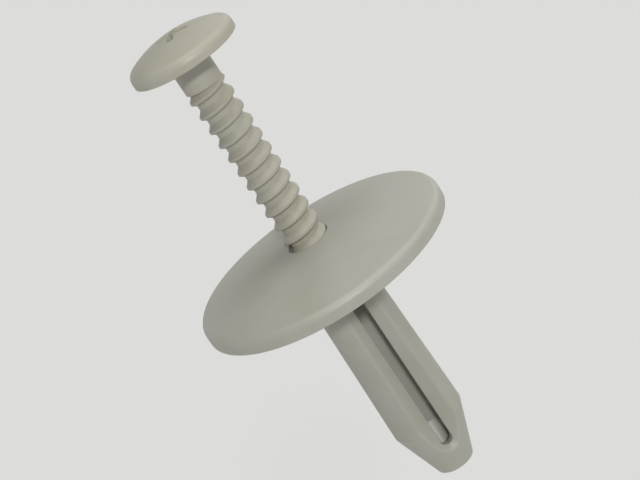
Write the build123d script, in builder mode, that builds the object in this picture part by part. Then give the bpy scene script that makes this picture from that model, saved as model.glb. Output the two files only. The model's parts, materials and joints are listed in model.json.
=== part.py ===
from build123d import *
import os
from math import ceil, cos, hypot, radians, sin, tan

os.makedirs("parts", exist_ok=True)

# Plastic push rivet: a flanged grommet with a slotted, closed-ended shank, and the coarse-threaded
# pin that is pushed down it to spread the legs behind a panel. Millimetres. +Z runs up the rivet's
# axis to the pin's head, and z = 0 is the face of the panel, where the flange's rim seats.
# The pin stands raised, as it is before it is driven home.

# ---- flange: a shallow dome, hollowed below so that only a ring at its rim bears on the panel ----
flange_d = 30.0
flange_t = 1.6
flange_rise = 2.2
flange_top_r = 0.8
flange_rim_c = 0.3
seat_w = 1.2

# ---- shank, which widens from a collar that fits the panel's hole ----
panel_hole_d = 8.0
hole_clearance = 0.1
collar_len = 2.5
shank_len = 28.6
belly_d = 8.9
belly_r = 4.0
nose_len = 6.7
end_d = 4.6
end_r = 0.5
end_wall = 1.25

# ---- slots that part the shank into legs ----
leg_count = 3
slot_turn = 10.0
slot_w = 1.48
slot_lead = 2.0
slot_end_rise = 3.5
slot_wall = 0.3
mouth_angle = 56.0
mouth_r = 0.35
mouth_over = 1.0

# ---- thread of the pin: right-hand, one start, steep on the side that faces the panel ----
thread_d = 4.7
thread_root_d = 3.7
pitch = 1.85
crest_w = 0.3
tip_flank = 0.42
head_flank = 0.78
crest_z = 1.95
flank_sink = 0.12
runout_slope = 25.0

# ---- the rest of the pin ----
neck_d = 4.4
neck_len = 3.6
lead_len = 3.0
lead_end_d = 1.6
head_d = 12.35
head_rim_h = 1.25
dome_slope = 28.0
shoulder_r = 1.0
recess_span = 4.0
recess_wing = 0.9
recess_depth = 1.8
recess_taper = 14.0
recess_turn = -15.0

# ---- how far up the pin stands, and the fits between the two ----
raised = 24.1
running_gap = 0.05
end_gap = 0.35
bore_lip_c = 0.12

# ---- worked out from the above ----
flange_top_z = flange_t + flange_rise
flange_crown_r = ((flange_d / 2) ** 2 + flange_rise**2) / (2 * flange_rise)
collar_d = panel_hole_d - hole_clearance
seat_r = flange_d / 2 - seat_w
bore_r = thread_d / 2 + running_gap
lead_bore_r = lead_end_d / 2 + running_gap
bore_end_z = end_wall - shank_len
driven_tip_z = bore_end_z + end_gap
lead_bore_z = driven_tip_z + lead_len

slot_top_z = -collar_len - slot_lead
slot_end_z = slot_end_rise - shank_len
slot_len = slot_top_z - slot_end_z
slot_mid_z = (slot_top_z + slot_end_z) / 2
mouth_floor_y = bore_r + slot_wall
mouth_depth = belly_d / 2 - mouth_floor_y + mouth_over
mouth_flare = mouth_depth * tan(radians(mouth_angle))
mouth_rim_r = mouth_floor_y + slot_wall

root_r = thread_root_d / 2
crest_h = (thread_d - thread_root_d) / 2
flank_lo = -crest_w / 2 - tip_flank
flank_hi = crest_w / 2 + head_flank
lead_rise = (thread_d - lead_end_d) / 2
trim = 2 * lead_rise
head_z = flange_top_z + raised
tip_z = driven_tip_z + raised
neck_z = head_z - neck_len
thread_start_z = crest_z - pitch * ceil((crest_z - tip_z) / pitch + 1)
rim_z = head_z + head_rim_h
dome_r = head_d / 2 / sin(radians(dome_slope))
crown_z = rim_z + dome_r * (1 - cos(radians(dome_slope)))

# ---- one slot: a plain slot in to the bore, and the flared mouth outside it ----
with BuildPart() as slot_cutter:
    with BuildSketch(Plane.XZ):
        with Locations((0, slot_mid_z)):
            SlotOverall(slot_len, slot_w, rotation=90)
    extrude(amount=belly_d)
    with BuildSketch(Plane.XZ.offset(mouth_floor_y)):
        with Locations((0, slot_mid_z)):
            SlotOverall(slot_len, slot_w, rotation=90)
    with BuildSketch(Plane.XZ.offset(mouth_floor_y + mouth_depth)):
        with Locations((0, slot_mid_z)):
            SlotOverall(slot_len + 2 * mouth_flare, slot_w + 2 * mouth_flare, rotation=90)
    loft(ruled=True)

# ---- grommet: flange, collar and shank turned in one piece, then slotted and bored ----
with BuildPart() as grommet:
    with BuildSketch(Plane.XZ) as half_section:
        with BuildLine():
            RadiusArc((0, flange_top_z), (flange_d / 2, flange_t), flange_crown_r)
            Polyline(
                (flange_d / 2, flange_t),
                (flange_d / 2, 0),
                (seat_r, 0),
                (collar_d / 2, flange_rise),
                (collar_d / 2, -collar_len),
                (belly_d / 2, nose_len - shank_len),
                (end_d / 2, -shank_len),
                (0, -shank_len),
                (0, flange_top_z),
            )
        make_face()
        corners = half_section.vertices()
        fillet(corners.sort_by_distance((flange_d / 2, flange_t))[0], flange_top_r)
        fillet(corners.sort_by_distance((belly_d / 2, nose_len - shank_len))[0], belly_r)
        fillet(corners.sort_by_distance((end_d / 2, -shank_len))[0], end_r)
        chamfer(corners.sort_by_distance((flange_d / 2, 0))[0], flange_rim_c)
    revolve(axis=Axis.Z)
    with PolarLocations(0, leg_count, start_angle=slot_turn):
        add(slot_cutter.part, mode=Mode.SUBTRACT)
    mouth_edges = grommet.edges(Select.LAST).filter_by(GeomType.CIRCLE, reverse=True)
    mouth_rims = mouth_edges.filter_by(
        lambda edge: hypot(edge.position_at(0.5).X, edge.position_at(0.5).Y) > mouth_rim_r
    )
    fillet(mouth_rims, mouth_r)
    with BuildSketch(Plane.XZ):
        with BuildLine():
            Polyline(
                (0, flange_top_z + flange_t),
                (bore_r, flange_top_z + flange_t),
                (bore_r, lead_bore_z),
                (lead_bore_r, driven_tip_z),
                (lead_bore_r, bore_end_z),
                (0, bore_end_z),
                (0, flange_top_z + flange_t),
            )
        make_face()
    revolve(axis=Axis.Z, mode=Mode.SUBTRACT)
    chamfer(grommet.edges().sort_by(Axis.Z)[-1], bore_lip_c)
grommet.part.label = "grommet"
export_step(grommet.part, "parts/grommet.step")

# ---- thread: one tooth swept along a helix that runs past both ends of what shows ----
with BuildPart() as thread:
    with BuildLine() as helix:
        Helix(
            pitch=pitch,
            height=neck_z - thread_start_z,
            radius=root_r,
            center=(0, 0, thread_start_z),
        )
    with BuildSketch(Plane(origin=helix.line @ 0, x_dir=(1, 0, 0), z_dir=(0, -1, 0))):
        with BuildLine():
            Polyline(
                (-flank_sink, flank_lo),
                (crest_h, -crest_w / 2),
                (crest_h, crest_w / 2),
                (-flank_sink, flank_hi),
                (-flank_sink, flank_lo),
            )
        make_face()
    sweep(path=helix.line, is_frenet=True, clean=False)

# ---- pin: threaded rod trimmed to its lead-in and run-out, then the head with its recess ----
with BuildPart() as screw_pin:
    with BuildSketch(Plane.XY.offset(tip_z - pitch)):
        Circle(root_r)
    extrude(amount=neck_z - tip_z + 2 * pitch)
    add(thread.part, clean=False)
    with BuildSketch(Plane.XZ):
        with BuildLine():
            Polyline(
                (0, neck_z),
                (neck_d / 2, neck_z),
                (neck_d / 2 + trim, neck_z - trim / tan(radians(runout_slope))),
                (lead_end_d / 2 + trim, tip_z + trim * lead_len / lead_rise),
                (lead_end_d / 2, tip_z),
                (0, tip_z),
                (0, neck_z),
            )
        make_face()
    revolve(axis=Axis.Z, mode=Mode.INTERSECT)
    with BuildSketch(Plane.XZ) as head_section:
        with BuildLine():
            Polyline(
                (0, crown_z),
                (0, neck_z),
                (neck_d / 2, neck_z),
                (neck_d / 2, head_z),
                (head_d / 2, head_z),
                (head_d / 2, rim_z),
            )
            RadiusArc((head_d / 2, rim_z), (0, crown_z), -dome_r)
        make_face()
        shoulder = head_section.vertices().sort_by_distance((head_d / 2, rim_z))[0]
        fillet(shoulder, shoulder_r)
    revolve(axis=Axis.Z)
    with BuildSketch(Plane.XY.offset(crown_z)):
        Rectangle(recess_span, recess_wing, rotation=recess_turn)
        Rectangle(recess_wing, recess_span, rotation=recess_turn)
    extrude(amount=-recess_depth, taper=recess_taper, mode=Mode.SUBTRACT)
screw_pin.part.label = "screw_pin"
export_step(screw_pin.part, "parts/screw_pin.step")
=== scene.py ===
import json
import math

import bpy
from mathutils import Matrix, Vector

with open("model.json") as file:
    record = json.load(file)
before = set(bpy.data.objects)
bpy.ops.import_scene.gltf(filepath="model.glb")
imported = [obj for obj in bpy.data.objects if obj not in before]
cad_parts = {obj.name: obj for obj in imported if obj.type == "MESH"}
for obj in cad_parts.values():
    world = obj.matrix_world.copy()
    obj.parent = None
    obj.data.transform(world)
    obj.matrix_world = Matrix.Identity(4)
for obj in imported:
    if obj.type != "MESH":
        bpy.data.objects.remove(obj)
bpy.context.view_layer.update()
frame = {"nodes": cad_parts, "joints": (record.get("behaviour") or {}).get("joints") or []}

MM = 0.001

# ---- the rivet's own directions: its axis is the one that the pin slides along ----
AXIS = Vector(frame["joints"][0]["axis"]).normalized()
SIDE = Vector((1, 0, 0))
FRONT = SIDE.cross(AXIS).normalized()

# ---- camera: fitted to the outlines of the head, the flange and the shank ----
IMAGE_W = 640
FOCAL_PX = 1839.9
SENSOR_W = 36.0
CLIP_NEAR = 0.01
CLIP_FAR = 100.0
# millimetres; the shift is across and down in the picture, and the rise is up the rivet's axis
CAM_DISTANCE = 200.0
CAM_ELEVATION = math.radians(20.465)
CAM_ROLL = math.radians(-33.743)
CAM_SHIFT = (0.431, 2.548)
CAM_TARGET_RISE = 0.23


def aim(camera):
    """Places the camera square to the rivet, raised by its elevation and then rolled."""
    forward = -FRONT * math.cos(CAM_ELEVATION) - AXIS * math.sin(CAM_ELEVATION)
    level_down = FRONT * math.sin(CAM_ELEVATION) - AXIS * math.cos(CAM_ELEVATION)
    right = SIDE * math.cos(CAM_ROLL) - level_down * math.sin(CAM_ROLL)
    down = SIDE * math.sin(CAM_ROLL) + level_down * math.cos(CAM_ROLL)
    target = AXIS * CAM_TARGET_RISE - right * CAM_SHIFT[0] - down * CAM_SHIFT[1]
    place = target - forward * CAM_DISTANCE
    turn = Matrix((right, -down, -forward)).transposed()
    camera.matrix_world = Matrix.Translation(place * MM) @ turn.to_4x4()


cam_data = bpy.data.cameras.new("camera")
cam_data.sensor_width = SENSOR_W
cam_data.lens = FOCAL_PX / IMAGE_W * cam_data.sensor_width
cam_data.clip_start = CLIP_NEAR
cam_data.clip_end = CLIP_FAR
camera = bpy.data.objects.new("camera", cam_data)
bpy.context.scene.collection.objects.link(camera)
aim(camera)
bpy.context.scene.camera = camera


# ---- materials: each piece's nylon drifts between two shades, and its sheen drifts along ----
GROMMET_COLOUR = (0.325, 0.32, 0.28)
PIN_COLOUR = (0.333, 0.32, 0.266)
NYLON_IOR = 1.53
DRIFT_SCALE = 180.0
DRIFT_DETAIL = 3.0
DRIFT_SPAN = (0.35, 0.65)
DRIFT_DARK = (0.97, 0.96, 0.93)
DRIFT_PALE = (1.02, 1.03, 1.05)
SHEEN = (0.38, 0.52)
GRAIN_SCALE = 5200.0
GRAIN_DETAIL = 4.0
GRAIN_STRENGTH = 0.12
GRAIN_HEIGHT = 0.00006
EDGE_SAMPLES = 6
EDGE_RADIUS = 0.0001


def shade(colour, factors):
    return tuple(part * factor for part, factor in zip(colour, factors)) + (1,)


def nylon(name, colour):
    """Satin moulded nylon: slight colour drift, fine moulded grain and edges that catch the light."""
    mat = bpy.data.materials.new(name)
    mat.use_nodes = True
    nodes = mat.node_tree.nodes
    links = mat.node_tree.links
    shader = nodes["Principled BSDF"]
    shader.inputs["IOR"].default_value = NYLON_IOR
    place = nodes.new("ShaderNodeTexCoord")

    drift = nodes.new("ShaderNodeTexNoise")
    drift.inputs["Scale"].default_value = DRIFT_SCALE
    drift.inputs["Detail"].default_value = DRIFT_DETAIL
    links.new(place.outputs["Object"], drift.inputs["Vector"])
    ramp = nodes.new("ShaderNodeValToRGB")
    dark, pale = ramp.color_ramp.elements
    dark.position, pale.position = DRIFT_SPAN
    dark.color = shade(colour, DRIFT_DARK)
    pale.color = shade(colour, DRIFT_PALE)
    links.new(drift.outputs["Fac"], ramp.inputs["Fac"])
    links.new(ramp.outputs["Color"], shader.inputs["Base Color"])
    sheen = nodes.new("ShaderNodeMapRange")
    sheen.inputs["To Min"].default_value = SHEEN[0]
    sheen.inputs["To Max"].default_value = SHEEN[1]
    links.new(drift.outputs["Fac"], sheen.inputs["Value"])
    links.new(sheen.outputs["Result"], shader.inputs["Roughness"])

    grain = nodes.new("ShaderNodeTexNoise")
    grain.inputs["Scale"].default_value = GRAIN_SCALE
    grain.inputs["Detail"].default_value = GRAIN_DETAIL
    links.new(place.outputs["Object"], grain.inputs["Vector"])
    bump = nodes.new("ShaderNodeBump")
    bump.inputs["Strength"].default_value = GRAIN_STRENGTH
    bump.inputs["Distance"].default_value = GRAIN_HEIGHT
    links.new(grain.outputs["Fac"], bump.inputs["Height"])
    soft_edge = nodes.new("ShaderNodeBevel")
    soft_edge.samples = EDGE_SAMPLES
    soft_edge.inputs["Radius"].default_value = EDGE_RADIUS
    links.new(soft_edge.outputs["Normal"], bump.inputs["Normal"])
    links.new(bump.outputs["Normal"], shader.inputs["Normal"])
    return mat


def paint(obj, mat):
    obj.data.materials.clear()
    obj.data.materials.append(mat)


paint(frame["nodes"]["grommet"], nylon("grommet_nylon", GROMMET_COLOUR))
paint(frame["nodes"]["screw_pin"], nylon("pin_nylon", PIN_COLOUR))

# ---- floor: plain and pale, well below the rivet, which stands in its own frame ----
FLOOR_SIZE = 60.0
FLOOR_Z = -0.5
FLOOR_SHADE = 0.65
bpy.ops.mesh.primitive_plane_add(size=FLOOR_SIZE, location=(0, 0, FLOOR_Z))
floor = bpy.context.object
floor.name = "floor"
floor_mat = bpy.data.materials.new("floor")
floor_mat.use_nodes = True
floor_shader = floor_mat.node_tree.nodes["Principled BSDF"]
floor_shader.inputs["Base Color"].default_value = (FLOOR_SHADE, FLOOR_SHADE, FLOOR_SHADE, 1)
floor_shader.inputs["Roughness"].default_value = 1.0
floor_shader.inputs["Specular IOR Level"].default_value = 0.0
paint(floor, floor_mat)


# ---- light: a small key a little to the right of the camera, and three wide soft ones ----
def lamp(name, azimuth, elevation, spread, irradiance, tint):
    """A distant lamp, placed in degrees from the front and up, and spread over that many degrees."""
    turn = math.radians(azimuth)
    rise = math.radians(elevation)
    level = SIDE * math.sin(turn) + FRONT * math.cos(turn)
    direction = level * math.cos(rise) + AXIS * math.sin(rise)
    data = bpy.data.lights.new(name, "SUN")
    data.angle = math.radians(spread)
    data.energy = irradiance
    data.color = tint
    light = bpy.data.objects.new(name, data)
    bpy.context.scene.collection.objects.link(light)
    light.rotation_mode = "QUATERNION"
    light.rotation_quaternion = direction.to_track_quat("Z", "Y")


NEUTRAL = (1.0, 1.0, 1.0)
WARM = (1.0, 0.98, 0.88)
lamp("key", 5, 27, 5, 1.76, NEUTRAL)
lamp("top", 0, 80, 40, 1.34, NEUTRAL)
lamp("right", 90, 45, 40, 0.82, WARM)
lamp("back", 140, 30, 60, 0.55, NEUTRAL)

# ---- sky: as pale as the floor near the horizon, so that the two merge, and dim above ----
SKY_LOW = 0.72
SKY_HIGH = 0.1
SKY_FADE = (math.sin(math.radians(10)), math.sin(math.radians(25)))
SKY_TINT = (1, 1, 0.975, 1)
world = bpy.data.worlds.new("world")
bpy.context.scene.world = world
world.use_nodes = True
sky_nodes = world.node_tree.nodes
sky_links = world.node_tree.links
sky = sky_nodes["Background"]
sky.inputs["Color"].default_value = SKY_TINT
sky_place = sky_nodes.new("ShaderNodeTexCoord")
sky_height = sky_nodes.new("ShaderNodeSeparateXYZ")
sky_fade = sky_nodes.new("ShaderNodeMapRange")
sky_fade.inputs["From Min"].default_value = SKY_FADE[0]
sky_fade.inputs["From Max"].default_value = SKY_FADE[1]
sky_fade.inputs["To Min"].default_value = SKY_LOW
sky_fade.inputs["To Max"].default_value = SKY_HIGH
sky_links.new(sky_place.outputs["Generated"], sky_height.inputs["Vector"])
sky_links.new(sky_height.outputs["Z"], sky_fade.inputs["Value"])
sky_links.new(sky_fade.outputs["Result"], sky.inputs["Strength"])

bpy.context.scene.view_settings.view_transform = "Standard"
